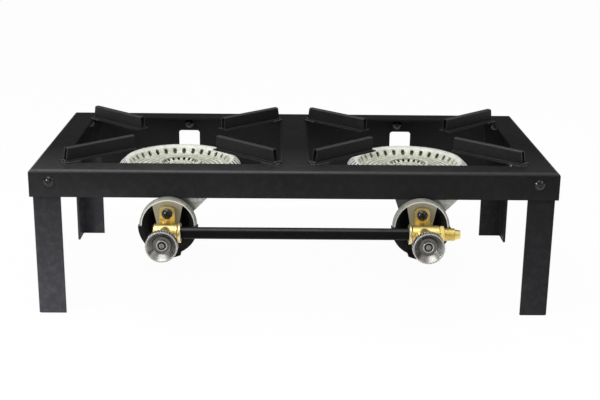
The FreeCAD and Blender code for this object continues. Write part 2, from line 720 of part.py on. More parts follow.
# Brass tap: barrel on the gas pipe, gland boss to the front, outlet boss and lug against the bell
def tap_body(side):
    axis = V(side * BURNER_X, TAP_Y, MIXER_Z)
    to_pipe = X * -side
    other_end = BARREL_INLET_END if side > 0 else BARREL_CLOSED_END
    length = other_end + BARREL_PIPE_END
    barrel_section = [
        (0, 0, 0),
        (BARREL_RADIUS - BARREL_EDGE, 0, 0),
        (BARREL_RADIUS, BARREL_EDGE, 0),
        (BARREL_RADIUS, length - BARREL_EDGE, 0),
        (BARREL_RADIUS - BARREL_EDGE, length, 0),
        (0, length, 0),
    ]
    barrel = lathe(barrel_section, axis - to_pipe * other_end, to_pipe)
    gland = rod(axis, Y * -1, GLAND_BOSS_RADIUS, GLAND_BOSS_LENGTH)
    outlet = rod(axis, Y, OUTLET_BOSS_RADIUS, TAP_REACH)
    lug_top = LUG_SCREW_HEIGHT + LUG_ABOVE_SCREW
    lug = plate([
        (-LUG_WIDTH / 2, -LUG_BELOW, LUG_ROUND),
        (-LUG_WIDTH / 2, lug_top, LUG_ROUND),
        (LUG_WIDTH / 2, lug_top, LUG_ROUND),
        (LUG_WIDTH / 2, -LUG_BELOW, LUG_ROUND),
    ], across_y(TAP_REACH - LUG_THICKNESS), Y * LUG_THICKNESS)
    lug.translate(axis)
    body = barrel.multiFuse([gland, outlet, lug]).removeSplitter()
    gas_start = axis - to_pipe * (other_end if side > 0 else 0)
    gas = rod(gas_start, to_pipe, GAS_BORE, BARREL_PIPE_END + (other_end if side > 0 else 0))
    stem_depth = NEEDLE_SEAT + GLAND_BOSS_LENGTH
    stem_bore = rod(axis + Y * NEEDLE_SEAT, Y * -1, STEM_RADIUS + RUNNING_CLEARANCE, stem_depth)
    outlet_bore = rod(axis, Y, OUTLET_BORE, TAP_REACH)
    socket = rod(axis + Y * TAP_REACH, Y * -1, JET_RADIUS + THREAD_CLEARANCE, JET_THREAD_LENGTH)
    for bore in (gas, stem_bore, outlet_bore, socket):
        body = body.cut(bore)
    return drilled(body, lug_screw_places(), LUG_THICKNESS)


def gland_nut(x):
    base = V(x, GLAND_FRONT, MIXER_Z)
    forward = Y * -1
    bore = rod(base, forward, STEM_RADIUS + RUNNING_CLEARANCE, GLAND_NUT_LENGTH)
    return chamfered_hex(base, forward, GLAND_NUT_FLATS, GLAND_NUT_LENGTH).cut(bore)


# Needle stem from its seat in the tap to the socket in the knob
def stem(x):
    base = V(x, TAP_Y + NEEDLE_SEAT - NEEDLE_GAP, MIXER_Z)
    end = NEEDLE_SEAT - NEEDLE_GAP + KNOB_STANDOFF + KNOB_SEAT - KNOB_WEB - STEM_END_GAP
    needle = lathe([
        (0, 0, 0),
        (NEEDLE_TIP_RADIUS, 0, 0),
        (STEM_RADIUS, NEEDLE_LENGTH, 0),
        (STEM_RADIUS, end, 0),
        (0, end, 0),
    ], base, Y * -1)
    thread = rod(base - Y * end, Y, KNOB_SCREW_RADIUS + THREAD_CLEARANCE, KNOB_SCREW_LENGTH)
    return needle.cut(thread)


# Dished metal knob with a knurled rim and a hub for its screw
def knob(x):
    base = V(x, KNOB_BACK, MIXER_Z)
    forward = Y * -1
    socket = STEM_RADIUS + THREAD_CLEARANCE
    screw = KNOB_SCREW_RADIUS + HOLE_CLEARANCE
    dish = KNOB_DEPTH - KNOB_DISH_DEPTH
    body = lathe([
        (socket, 0, 0),
        (KNOB_BACK_RADIUS, 0, KNOB_BACK_ROUND),
        (KNOB_RADIUS, KNOB_DEPTH - KNOB_RIM_DEPTH, KNOB_BACK_ROUND),
        (KNOB_RADIUS, KNOB_DEPTH - KNOB_EDGE, 0),
        (KNOB_RADIUS - KNOB_EDGE, KNOB_DEPTH, 0),
        (KNOB_RADIUS - KNOB_RIM_WIDTH, KNOB_DEPTH, 0),
        (KNOB_DISH_RADIUS, dish, KNOB_DISH_ROUND),
        (KNOB_HUB_RADIUS, dish, 0),
        (KNOB_HUB_RADIUS, KNOB_HUB_TOP - KNOB_EDGE, 0),
        (KNOB_HUB_RADIUS - KNOB_EDGE, KNOB_HUB_TOP, 0),
        (KNOB_RECESS_RADIUS, KNOB_HUB_TOP, 0),
        (KNOB_RECESS_RADIUS, KNOB_SEAT, 0),
        (screw, KNOB_SEAT, 0),
        (screw, KNOB_SEAT - KNOB_WEB, 0),
        (socket, KNOB_SEAT - KNOB_WEB, 0),
    ], base, forward)
    flutes = []
    flute_end = KNOB_FRONT + KNURL_LENGTH
    for step in range(KNURL_COUNT):
        flute = box(-KNURL_DEPTH, KNURL_DEPTH, KNOB_FRONT - 1, flute_end, -KNURL_DEPTH, KNURL_DEPTH)
        flute.rotate(V(), Y, 45)
        flute.translate(Z * (KNOB_RADIUS + KNURL_DEPTH * (math.sqrt(2) - 1)))
        flute.rotate(V(), Y, 360.0 * step / KNURL_COUNT)
        flute.translate(V(x, 0, MIXER_Z))
        flutes.append(flute)
    return body.cut(Part.makeCompound(flutes))


def knob_screw(x):
    seat = V(x, KNOB_BACK - KNOB_SEAT, MIXER_Z)
    top = seat.y - KNOB_SCREW_HEAD_HEIGHT
    head = rod(seat, Y * -1, KNOB_SCREW_HEAD_RADIUS, KNOB_SCREW_HEAD_HEIGHT)
    reach = KNOB_SCREW_HEAD_RADIUS
    half = SLOT_WIDTH / 2
    slot = box(x - reach, x + reach, top, top + SLOT_DEPTH, MIXER_Z - half, MIXER_Z + half)
    slot.rotate(seat, Y, SLOT_TURN)
    shank = rod(seat, Y, KNOB_SCREW_RADIUS, KNOB_SCREW_LENGTH)
    return head.fuse(shank).cut(slot).removeSplitter()


def jet(x):
    nose = JET_THREAD_LENGTH + JET_NOSE_LENGTH
    tip = nose + JET_TIP_LENGTH
    return lathe([
        (JET_ORIFICE_RADIUS, 0, 0),
        (JET_RADIUS, 0, 0),
        (JET_RADIUS, JET_THREAD_LENGTH, 0),
        (JET_NOSE_RADIUS, JET_THREAD_LENGTH, 0),
        (JET_NOSE_RADIUS, nose, 0),
        (JET_TIP_RADIUS, tip, 0),
        (JET_ORIFICE_RADIUS, tip, 0),
    ], V(x, BELL_FRONT - JET_THREAD_LENGTH, MIXER_Z), Y)


def gas_pipe():
    reach = BURNER_X - BARREL_PIPE_END - COLLAR_THICKNESS
    start = V(-reach, TAP_Y, MIXER_Z)
    return rod(start, X, PIPE_RADIUS, 2 * reach).cut(rod(start, X, PIPE_BORE, 2 * reach))


def pipe_collars():
    collars = []
    for sx in SIDES.values():
        base = V(sx * (BURNER_X - BARREL_PIPE_END), TAP_Y, MIXER_Z)
        collars.append(lathe([
            (PIPE_BORE, 0, 0),
            (COLLAR_RADIUS - COLLAR_EDGE, 0, 0),
            (COLLAR_RADIUS, COLLAR_EDGE, 0),
            (COLLAR_RADIUS, COLLAR_THICKNESS - COLLAR_EDGE, 0),
            (COLLAR_RADIUS - COLLAR_EDGE, COLLAR_THICKNESS, 0),
            (PIPE_BORE, COLLAR_THICKNESS, 0),
        ], base, X * -sx))
    return Part.makeCompound(collars)


# Hexagon, plain thread cylinder and flare nose on the right-hand tap
def flare_inlet():
    base = V(BURNER_X + BARREL_INLET_END, TAP_Y, MIXER_Z)
    thread_end = INLET_HEX_LENGTH + INLET_THREAD_LENGTH
    nose_end = thread_end + INLET_NOSE_LENGTH
    spigot = lathe([
        (0, 0, 0),
        (INLET_THREAD_RADIUS, 0, 0),
        (INLET_THREAD_RADIUS, thread_end, 0),
        (INLET_NOSE_ROOT, thread_end, 0),
        (INLET_NOSE_RADIUS, nose_end, 0),
        (0, nose_end, 0),
    ], base, X)
    hexagon = chamfered_hex(base, X, INLET_FLATS, INLET_HEX_LENGTH)
    return hexagon.fuse(spigot).cut(rod(base, X, GAS_BORE, nose_end)).removeSplitter()


# Sleeve round the lower half of a bell with a lip over its face and a thumb tab bent forward
def air_shutter(side):
    axis = V(side * BURNER_X, 0, MIXER_Z)
    inner = BELL_RADIUS + SHUTTER_CLEARANCE
    outer = inner + SHUTTER_SHEET
    lip_back = BELL_FRONT - SHUTTER_CLEARANCE
    front = lip_back - SHUTTER_SHEET
    back = BELL_FRONT + SHUTTER_DEPTH
    section = [
        (outer - SHUTTER_LIP, front, 0),
        (outer, front, SHUTTER_SHEET / 2),
        (outer, back, 0),
        (inner, back, 0),
        (inner, lip_back, 0),
        (outer - SHUTTER_LIP, lip_back, 0),
    ]
    sleeve = lathe(section, axis, Y, SHUTTER_ARC, 90 - SHUTTER_ARC / 2)
    half_tab = SHUTTER_TAB_WIDTH / 2
    tab_end = front - SHUTTER_TAB_LENGTH
    tab_low = -math.sqrt((outer - SHUTTER_SHEET / 2) ** 2 - half_tab ** 2)
    tab = plate([
        (-half_tab, lip_back, 0),
        (half_tab, lip_back, 0),
        (half_tab, tab_end, SHUTTER_TAB_ROUND),
        (-half_tab, tab_end, SHUTTER_TAB_ROUND),
    ], across_z(tab_low), Z * SHUTTER_SHEET)
    tab.rotate(V(), Y, side * SHUTTER_TAB_TURN)
    tab.translate(axis)
    return sleeve.fuse(tab).removeSplitter()


def save(node, shape):
    placed = shape.copy()
    placed.translate(TO_ORIGIN)
    placed.exportStep("parts/" + node + ".step")


def save_group(node, shapes):
    save(node, Part.makeCompound(shapes))


# Nuts at the far end of each bolt's grip
def nuts_at(places, grip):
    return [nut(seat + axis * grip, axis) for seat, axis in places]


def save_bolts_and_nuts(name, places, grip):
    save_group(name + "_bolts", [bolt(seat, axis, bolt_length(grip)) for seat, axis in places])
    save_group(name + "_nuts", nuts_at(places, grip))


def main():
    os.makedirs("parts", exist_ok=True)
    save("front_rail", rail(FRAME_WIDTH, HALF_DEPTH, FRONT_APRON, 0))
    save("right_rail", rail(FRAME_DEPTH, HALF_WIDTH, SIDE_APRON, 90))
    save("rear_rail", rail(FRAME_WIDTH, HALF_DEPTH, REAR_APRON, 180))
    save("left_rail", rail(FRAME_DEPTH, HALF_WIDTH, SIDE_APRON, 270))
    save("centre_bar", centre_bar())
    save("wind_guard", wind_guard())
    save("guard_clamps", guard_clamps())
    save("burner_cross_strap", cross_strap())
    save("gas_pipe", gas_pipe())
    save("pipe_collars", pipe_collars())
    save("flare_inlet", flare_inlet())
    for side, sx in SIDES.items():
        x = sx * BURNER_X
        for end, sy in ENDS.items():
            save(f"{side}_{end}_leg", leg(sx, sy))
            save(f"{side}_{end}_outer_pot_support", pot_support(sx, sx, sy))
            save(f"{side}_{end}_inner_pot_support", pot_support(sx, -sx, sy))
        save(f"{side}_burner_body", burner_body(x))
        save(f"{side}_burner_cap", burner_cap(x))
        save(f"{side}_front_saddle", front_saddle(x))
        save(f"{side}_tap_body", tap_body(sx))
        save(f"{side}_gland_nut", gland_nut(x))
        save(f"{side}_stem", stem(x))
        save(f"{side}_knob", knob(x))
        save(f"{side}_knob_screw", knob_screw(x))
        save(f"{side}_jet", jet(x))
        save(f"{side}_air_shutter", air_shutter(sx))
    save_bolts_and_nuts("leg", leg_bolt_places(), 2 * SHEET)
    save_bolts_and_nuts("guard", guard_bolt_places(), GUARD_GRIP)
    save_bolts_and_nuts("ear", ear_bolt_places(), EAR_THICKNESS + SADDLE_SHEET)
    boss_length = STRAP_THICKNESS + BOSS_LENGTH - BOLT_TAIL
    save_group("boss_bolts", [bolt(seat, axis, boss_length) for seat, axis in boss_bolt_places()])
    lug_length = LUG_THICKNESS + SPIDER_THICKNESS + LUG_SCREW_TAIL
    lug_head = (LUG_SCREW_HEAD_RADIUS, LUG_SCREW_HEAD_HEIGHT)
    save_group("lug_screws", [bolt(seat, axis, lug_length, *lug_head) for seat, axis in lug_screw_places()])


main()
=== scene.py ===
import json
import math
import random

import bmesh
import bpy
from mathutils import Matrix, Vector


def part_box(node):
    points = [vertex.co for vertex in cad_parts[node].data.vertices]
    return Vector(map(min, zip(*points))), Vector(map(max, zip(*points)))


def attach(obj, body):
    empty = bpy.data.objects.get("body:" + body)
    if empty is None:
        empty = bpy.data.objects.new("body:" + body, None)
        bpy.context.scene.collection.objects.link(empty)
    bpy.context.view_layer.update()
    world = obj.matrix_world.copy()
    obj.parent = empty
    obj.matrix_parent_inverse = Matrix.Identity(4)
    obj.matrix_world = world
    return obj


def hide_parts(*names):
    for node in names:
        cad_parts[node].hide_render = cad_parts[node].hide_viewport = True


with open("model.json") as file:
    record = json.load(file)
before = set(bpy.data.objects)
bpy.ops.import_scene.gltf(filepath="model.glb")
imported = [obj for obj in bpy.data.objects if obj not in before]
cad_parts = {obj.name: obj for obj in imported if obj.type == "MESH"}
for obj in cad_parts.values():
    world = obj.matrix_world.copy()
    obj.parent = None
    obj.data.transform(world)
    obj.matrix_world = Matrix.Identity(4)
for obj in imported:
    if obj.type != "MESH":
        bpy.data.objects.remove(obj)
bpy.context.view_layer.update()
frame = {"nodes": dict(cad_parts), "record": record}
MM = 0.001

# Burners: distance left and right of the middle of the stove, distance back, and the top of their caps
BURNER_X = 0.1575
BURNER_Y = 0.043
CAP_TOP = 0.1615
SIDES = (("left", -1), ("right", 1))
# Axis that a bell and its knob share: its height, and how far forward each of them reaches
MIXER_Z = 0.1234
BELL_FRONT_Y = -0.135
KNOB_FRONT_Y = -0.215
# Height of the flat top of the frame
FRAME_TOP = 0.191
# Points closer than this are one, and edges sharper than this stay sharp on a smooth piece
SAME_POINT = 0.001 * MM
SHARP_ANGLE = math.radians(38.0)
# Burner caps, by distance from the middle: the crown rises to a ridge, and the grooved rim falls outside it
CROWN_START = 68.0 * MM
RIDGE_RADIUS = 74.6 * MM
RIDGE_LIFT = 3.3 * MM
CAP_RADIUS = 83.5 * MM
RIM_FALL = 5.0 * MM
RIM_SLOPE = (RIDGE_LIFT + RIM_FALL) / (CAP_RADIUS - RIDGE_RADIUS)
# Outer wall of the CAD cap: height above its seat, and the part of that taken by the bevelled edge
CAP_RIM_HEIGHT = 8.0 * MM
CAP_EDGE = 1.2 * MM


class Field:
    """A value that changes over a surface. Sums on it add Math nodes."""

    def __init__(self, nodes, socket):
        self.nodes = nodes
        self.socket = socket

    def maths(self, operation, first, second):
        return self.nodes.node("ShaderNodeMath", {"operation": operation}, {0: first, 1: second})

    def __add__(self, other):
        return self.maths("ADD", self, other)

    def __radd__(self, other):
        return self.maths("ADD", other, self)

    def __sub__(self, other):
        return self.maths("SUBTRACT", self, other)

    def __rsub__(self, other):
        return self.maths("SUBTRACT", other, self)

    def __mul__(self, other):
        return self.maths("MULTIPLY", self, other)

    def __rmul__(self, other):
        return self.maths("MULTIPLY", other, self)

    def __pow__(self, other):
        return self.maths("POWER", self, other)

    def __abs__(self):
        return self.maths("ABSOLUTE", self, 0.0)

    def sine(self):
        return self.maths("SINE", self, 0.0)

    def sign(self):
        return self.maths("SIGN", self, 0.0)


class Nodes:
    """A node tree with one method for every kind of node."""

    def __init__(self, tree):
        self.tree = tree
        tree.nodes.clear()

    def node(self, kind, settings=None, inputs=None, output=0):
        made = self.tree.nodes.new(kind)
        for name, value in (settings or {}).items():
            if name == "stops":
                self.set_stops(made.color_ramp, value)
            else:
                setattr(made, name, value)
        for name, value in (inputs or {}).items():
            self.feed(made.inputs[name], value)
        return Field(self, made.outputs[output]) if made.outputs else None

    def feed(self, socket, value):
        if isinstance(value, Field):
            self.tree.links.new(value.socket, socket)
        else:
            socket.default_value = value

    def set_stops(self, ramp, stops):
        while len(ramp.elements) < len(stops):
            ramp.elements.new(1.0)
        for element, (position, level) in zip(ramp.elements, stops):
            element.position = position
            element.color = (level, level, level, 1.0)

    def ramp(self, value, *stops):
        return self.node("ShaderNodeValToRGB", {"stops": stops}, {"Fac": value})

    def seen_ray(self):
        """1 for rays that show the background itself: camera, mirror and glass rays."""
        camera = self.node("ShaderNodeLightPath", output="Is Camera Ray")
        glossy = self.node("ShaderNodeLightPath", output="Is Glossy Ray")
        transmission = self.node("ShaderNodeLightPath", output="Is Transmission Ray")
        return self.node("ShaderNodeClamp", {}, {"Value": camera + glossy + transmission})


# Rays for rolled edges and dark corners, and how fast the edge mask rises
EDGE_SAMPLES = 6
EDGE_GAIN = 4.0


class Finish(Nodes):
    """One material: a Principled shader and what feeds it, laid out in the stove's own metres."""

    def __init__(self, name, constants):
        self.material = bpy.data.materials.new(name)
        self.material.use_nodes = True
        super().__init__(self.material.node_tree)
        self.place = self.node("ShaderNodeTexCoord", output="Object")
        self.shader = self.node("ShaderNodeBsdfPrincipled", {}, constants)
        self.output = self.tree.nodes.new("ShaderNodeOutputMaterial")
        self.feed(self.output.inputs["Surface"], self.shader)

    def surface(self, **sockets):
        principled = self.shader.socket.node
        for name, value in sockets.items():
            self.feed(principled.inputs[name.replace("_", " ").title()], value)
        return self.material

    def noise(self, size, detail=2.0, roughness=0.5, stretch=(1.0, 1.0, 1.0)):
        place = self.node("ShaderNodeVectorMath", {"operation": "MULTIPLY"}, {0: self.place, 1: stretch})
        return self.node("ShaderNodeTexNoise", {}, {
            "Vector": place, "Scale": 1.0 / size, "Detail": detail, "Roughness": roughness,
        })

    def mix(self, factor, first, second):
        return self.node("ShaderNodeMix", {"data_type": "RGBA"}, {0: factor, 6: first, 7: second}, output=2)

    def bump(self, height, depth, normal):
        return self.node("ShaderNodeBump", {}, {"Height": height, "Distance": depth, "Normal": normal})

    def soft_edges(self, radius):
        """Normal that rolls over sharp edges, and a mask that rises towards them."""
        rolled = self.node("ShaderNodeBevel", {"samples": EDGE_SAMPLES}, {"Radius": radius})
        flat = self.node("ShaderNodeNewGeometry", output="Normal")
        dot = {"operation": "DOT_PRODUCT"}
        along = self.node("ShaderNodeVectorMath", dot, {0: rolled, 1: flat}, output="Value")
        return rolled, self.node("ShaderNodeClamp", {}, {"Value": (1.0 - along) * EDGE_GAIN})

    def crevices(self, distance):
        inputs = {"Distance": distance}
        return self.node("ShaderNodeAmbientOcclusion", {"samples": EDGE_SAMPLES}, inputs, output="AO")

    def axis(self, letter):
        return self.node("ShaderNodeSeparateXYZ", {}, {"Vector": self.place}, output=letter)

    def tilt(self, letter):
        normal = self.node("ShaderNodeTexCoord", output="Normal")
        return self.node("ShaderNodeSeparateXYZ", {}, {"Vector": normal}, output=letter)

    def band(self, value, start, end):
        """0 before start and 1 after end, or the other way round where end is the smaller."""
        return self.node("ShaderNodeMapRange", {}, {"Value": value, "From Min": start, "From Max": end})

    def from_bell_axis(self):
        """Distance from the knob and bell axis, the same on both sides of the stove."""
        across = abs(self.axis("X")) - BURNER_X
        height = self.axis("Z") - MIXER_Z
        return (across * across + height * height) ** 0.5

    def from_burner_centre(self):
        """Distance from the upright axis of the burner head."""
        across = abs(self.axis("X")) - BURNER_X
        back = self.axis("Y") - BURNER_Y
        return (across * across + back * back) ** 0.5

    def faces_bell_axis(self):
        """1 where the surface looks towards the bell axis, as the inside of the bell does."""
        across = (abs(self.axis("X")) - BURNER_X) * self.axis("X").sign()
        outward = self.tilt("X") * across + self.tilt("Z") * (self.axis("Z") - MIXER_Z)
        return self.band(outward, *BELL_INSIDE)


def grey(level, tint=(1.0, 1.0, 1.0)):
    return tuple(level * part for part in tint) + (1.0,)


# The pairs below are zones of a finish: it begins at the first value and is full at the second.
# Frame paint: a pale film down to the feet, partly dust and partly painted sheen, stronger to the left end
# as painted light from the left; and the front of the top, where a painted highlight lies on a top darkened
# as painted shade
DUST_AND_SHEEN_LOW = (0.20, 0.0)
LIGHT_FROM_LEFT = (0.33, -0.33)
FRONT_ZONE = (0.0, -0.14)
# Painted surfaces, by how far they look up: the end of a bend, the rise to its full sheen, and a flat top
BEND_END = (0.995, 0.96)
BEND_RISE = 0.25
FACES_UP = (0.8, 0.95)


def black_paint(name, tone, roughness, edge_wear_and_highlight, sheen=0.13, bend_from=0.10, used=0.0):
    """Sprayed satin black: orange peel, clouds, burnished bends, and edges painted lighter, partly thin
    paint and partly a painted highlight.

    Where it is used, it also has a pale film towards the feet, partly dust and partly painted sheen,
    brighter to the left as painted light; tops darkened as painted shade; and a painted highlight on the
    front of the top.
    """
    paint = Finish(name, {"Specular IOR Level": sheen, "Coat Roughness": 0.32})
    rolled, edge = paint.soft_edges(1.0 * MM)
    cloud = paint.noise(70 * MM, 3.0)
    peel = paint.noise(1.6 * MM, 2.0)
    dust = paint.ramp(paint.noise(9 * MM, 6.0, 0.65), (0.45, 0.0), (0.75, 1.0))
    body = paint.mix(cloud, grey(tone * 0.7), grey(tone * 1.35, (1.0, 1.0, 1.03)))
    dusty = paint.mix(dust * 0.3, body, grey(tone * 2.0, (1.0, 0.99, 0.96)))
    # Edges painted lighter: thin paint on the edges, and, strongest on the pot supports, a painted highlight
    # along them
    thin_and_highlit_edges = paint.mix(edge * edge_wear_and_highlight * (0.4 + dust), dusty, grey(0.09, (1.0, 0.99, 0.97)))
    # Pale film low down and stronger to the left: partly dust, partly painted sheen and painted light from
    # the left
    low = paint.band(paint.axis("Z"), *DUST_AND_SHEEN_LOW)
    left = paint.band(paint.axis("X"), *LIGHT_FROM_LEFT)
    film = low * (0.23 + 0.55 * left) * (0.8 + 0.6 * dust) * used
    lift = paint.tilt("Z")
    bend = paint.band(lift, bend_from, bend_from + BEND_RISE) * paint.band(lift, *BEND_END)
    top = paint.band(lift, *FACES_UP) * used
    # Up-facing tops painted darker: painted shade
    shade_darkened = paint.mix(top * 0.8, thin_and_highlit_edges, grey(0.003))
    # Front of the top painted lighter, more to the left: painted highlight and painted light from the left
    front = paint.band(paint.axis("Y"), *FRONT_ZONE)
    lightened = top * front * (0.22 + 0.22 * left) * (0.8 + 0.6 * dust)
    front_lightened = paint.mix(lightened, shade_darkened, grey(0.09, (1.0, 0.99, 0.98)))
    return paint.surface(
        base_color=paint.mix(film, front_lightened, grey(0.09, (0.97, 0.95, 1.08))),
        roughness=roughness - 0.10 + 0.2 * cloud + 0.08 * dust,
        coat_weight=bend * (1.0 - 0.4 * dust) * (1.0 - 0.8 * used * (1.0 - front)),
        normal=paint.bump(peel, 0.05 * MM, rolled),
    )


def gloss_black(name):
    """Shiny black bolt heads with fine handling marks."""
    coat = Finish(name, {"Specular IOR Level": 0.5})
    rolled, edge = coat.soft_edges(0.3 * MM)
    marks = coat.noise(1.2 * MM, 5.0, 0.7)
    tone = coat.mix(marks, grey(0.002), grey(0.005))
    return coat.surface(
        base_color=coat.mix(edge * 0.1, tone, grey(0.04)),
        roughness=0.10 + 0.10 * marks,
        normal=coat.bump(marks, 0.01 * MM, rolled),
    )


def cast_skin(iron, level):
    """Silver heat paint on a sand-cast skin: colour and height of its grain, lumps and thin spots."""
    skin = iron.noise(1.3 * MM, 4.0, 0.6)
    lumps = iron.noise(7 * MM, 3.0)
    thin = iron.ramp(iron.noise(11 * MM, 5.0, 0.65), (0.38, 0.0), (0.66, 1.0))
    silver = iron.mix(thin, grey(level, (1.0, 1.02, 0.90)), grey(level * 0.64, (1.0, 1.02, 0.80)))
    pits = iron.ramp(skin, (0.52, 0.0), (0.70, 0.7))
    colour = iron.mix(pits, silver, grey(level * 0.36, (1.0, 0.99, 0.82)))
    return colour, skin * 0.6 + lumps


# Burner body, by depth behind the front of the bell
BELL_FACE = (1.6 * MM, 0.8 * MM)
MOUTH_FRONT = (0.7 * MM, 2.2 * MM)
MOUTH_BACK = (76.0 * MM, 74.0 * MM)
EAR_FRONT = (20.0 * MM, 21.5 * MM)
EAR_BACK = (33.0 * MM, 31.0 * MM)
TUBE_FRONT = (33.0 * MM, 40.0 * MM)
# Burner body, by distance from the bell axis, and the tube by height above it
SPIDER_OUTSIDE = (32.2 * MM, 31.4 * MM)
RIM_INSIDE = (32.0 * MM, 32.5 * MM)
LIP_OUTSIDE = (33.9 * MM, 33.3 * MM)
MOUTH_OUTSIDE = (33.5 * MM, 32.9 * MM)
EAR_INSIDE = (36.5 * MM, 37.5 * MM)
TUBE_TOP = (24.0 * MM, 18.0 * MM)
# Burner body, by distance out from the bell axis along the normal: below zero, a surface faces the axis
BELL_INSIDE = (1.0 * MM, -2.0 * MM)


def burner_casting(name, level):
    """Silver casting: painted shade in the mouths and corners, dark mixer tubes, tarnished spiders, rims
    bared to the metal, painted highlights on edges and an ear painted lighter as painted light.
    """
    iron = Finish(name, {"Specular IOR Level": 0.4})
    rolled, edge = iron.soft_edges(1.0 * MM)
    colour, height = cast_skin(iron, level)
    bare_and_highlight_tone = grey(0.85, (1.0, 1.0, 0.97))
    # Edges painted bright: painted highlight, in the same tone as the bare rims
    bright = iron.mix(edge * 0.7, colour, bare_and_highlight_tone)
    # Corners darkened: painted shade
    corner_shade = iron.ramp(iron.crevices(8 * MM), (0.2, 0.0), (0.8, 1.0))
    shaded = iron.mix(corner_shade, grey(level * 0.14, (1.0, 0.98, 0.9)), bright)
    depth = iron.axis("Y") - BELL_FRONT_Y
    radius = iron.from_bell_axis()
    front = iron.band(depth, *BELL_FACE)
    rim = front * iron.band(radius, *RIM_INSIDE)
    spider = front * iron.band(radius, *SPIDER_OUTSIDE)
    blotch = iron.ramp(iron.noise(5 * MM, 4.0), (0.38, 0.0), (0.62, 1.0))
    stain = iron.mix(blotch, (0.33, 0.25, 0.19, 1.0), (0.27, 0.28, 0.17, 1.0))
    tarnished = iron.mix(spider * 0.75, shaded, stain)
    lip = iron.band(radius, *LIP_OUTSIDE)
    ring = iron.mix(blotch, grey(0.37, (1.0, 1.0, 0.92)), grey(0.23, (1.0, 1.0, 0.88)))
    polished = iron.mix(rim * 0.85, tarnished, iron.mix(lip, ring, bare_and_highlight_tone))
    # Inside of the bell mouths painted near black: painted shade
    mouth = iron.band(depth, *MOUTH_FRONT) * iron.band(depth, *MOUTH_BACK)
    mouth = mouth * iron.faces_bell_axis() * iron.band(radius, *MOUTH_OUTSIDE)
    # Mixer tube behind the bell darker, duller and not metallic
    tube = iron.band(depth, *TUBE_FRONT) * iron.band(iron.axis("Z") - MIXER_Z, *TUBE_TOP)
    # Ear painted lighter than the rest of the casting: painted light on a part in the shade of the apron
    ear = iron.band(radius, *EAR_INSIDE) * iron.band(depth, *EAR_FRONT) * iron.band(depth, *EAR_BACK)
    ear_lit_tone = iron.mix(blotch, grey(0.75, (1.0, 1.0, 0.95)), grey(0.50, (1.0, 1.0, 0.91)))
    ear_lightened = iron.mix(ear * 0.9, polished, ear_lit_tone)
    tube_darkened = iron.mix(tube * 0.9, ear_lightened, grey(0.02, (1.0, 0.98, 0.92)))
    return iron.surface(
        base_color=iron.mix(mouth, tube_darkened, grey(0.010)),
        roughness=0.36 + 0.25 * height + 0.5 * tube,
        metallic=0.35 - 0.35 * tube,
        normal=iron.bump(height, 0.3 * MM, rolled),
    )


# Burner cap, by distance from its middle, and the floors of its grooves by height over the sloping rim
RING_PITCH = 6.5 * MM
RINGS_OUTSIDE = (64.0 * MM, 61.0 * MM)
CROWN_INSIDE = (66.0 * MM, 70.0 * MM)
GROOVE_INSIDE = (74.0 * MM, 75.0 * MM)
GROOVE_OUTSIDE = (83.4 * MM, 82.8 * MM)
GROOVE_FLOOR = (-0.3 * MM, -0.8 * MM)


def cap_casting(name, level):
    """Burner cap: bright crown, grooves and ports darkened as painted shade, painted highlights on edges,
    and a yellowed dish with turned rings.
    """
    iron = Finish(name, {"Specular IOR Level": 0.4, "Metallic": 0.2})
    rolled, edge = iron.soft_edges(0.8 * MM)
    colour, height = cast_skin(iron, level)
    radius = iron.from_burner_centre()
    wave = (radius * (2.0 * math.pi / RING_PITCH) + 5.0 * height).sine()
    rings = iron.ramp(wave * 0.5 + 0.5, (0.45, 0.0), (0.75, 1.0)) * iron.band(radius, *RINGS_OUTSIDE)
    dish = iron.mix(rings * 0.85, colour, grey(level * 0.30, (1.0, 1.0, 0.70)))
    over_rim = iron.axis("Z") - (CAP_TOP + RIDGE_LIFT) + RIM_SLOPE * (radius - RIDGE_RADIUS)
    # Grooves of the rim painted dark: painted shade
    groove = iron.band(radius, *GROOVE_INSIDE) * iron.band(radius, *GROOVE_OUTSIDE)
    groove = groove * iron.band(over_rim, *GROOVE_FLOOR)
    crown = iron.band(radius, *CROWN_INSIDE) * (1.0 - groove)
    lighter = iron.mix(crown * 0.55, dish, grey(0.88, (1.0, 1.0, 0.95)))
    # Edges painted bright: painted highlight
    bright = iron.mix(edge * 0.8, lighter, grey(0.90, (1.0, 1.0, 0.96)))
    shade_darkened = iron.mix(groove * 0.9, bright, grey(0.09, (1.0, 0.98, 0.82)))
    # Crevices and ports darkened: painted shade
    crevice_shade = iron.ramp(iron.crevices(5 * MM), (0.3, 0.0), (0.85, 1.0))
    return iron.surface(
        base_color=iron.mix(crevice_shade, grey(0.05, (1.0, 0.98, 0.80)), shade_darkened),
        roughness=0.42 + 0.25 * height,
        normal=iron.bump(height - 0.5 * rings, 0.35 * MM, rolled),
    )


# Lugs of the taps, by height above the knob and bell axis
LUG_FOOT = (8.5 * MM, 11.0 * MM)


